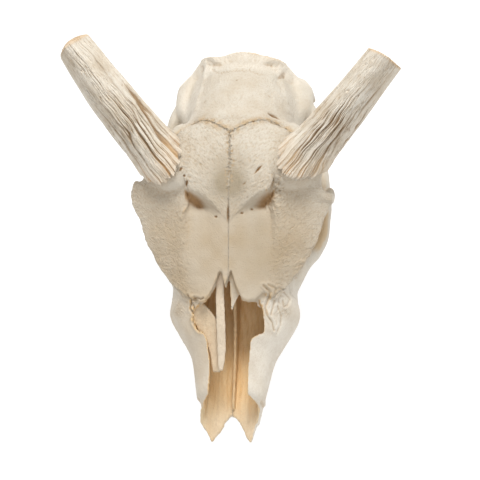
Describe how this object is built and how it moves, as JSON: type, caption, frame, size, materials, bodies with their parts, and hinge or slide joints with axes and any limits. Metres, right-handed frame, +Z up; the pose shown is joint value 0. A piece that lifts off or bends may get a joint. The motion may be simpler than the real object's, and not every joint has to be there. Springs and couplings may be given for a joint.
{
  "type": "waterbuck skull",
  "caption": "Bleached antelope skull without its lower jaw, lying on its cheek teeth, with sawn horn cores, open nose cavity, orbits and cheek arches.",
  "frame": {"origin": "on the floor under the middle of the skull's bounding box, as it rests on its cheek teeth and the two processes behind the ears", "axes": "+X to the animal's left, +Y to the back of the head, +Z up"},
  "size_m": [0.2704, 0.3314, 0.1954],
  "materials": {
    "bone": "dry bleached bone, ivory to cream, finely pored",
    "horn_core_bone": "dry grooved bone, cream with grey-beige grooves",
    "inner_bone": "thin dry bone, tan to yellowish brown"
  },
  "bodies": {
    "root": {"braincase": "bone", "frontal_left": "bone", "frontal_right": "bone", "maxilla_left": "bone", "maxilla_right": "bone", "sphenoid": "bone", "zygomatic_left": "bone", "zygomatic_right": "bone", "horn_core_left": "horn_core_bone", "horn_core_right": "horn_core_bone", "nasal_right": "inner_bone", "turbinate_right": "inner_bone", "vomer": "inner_bone"}
  },
  "joints": []
}
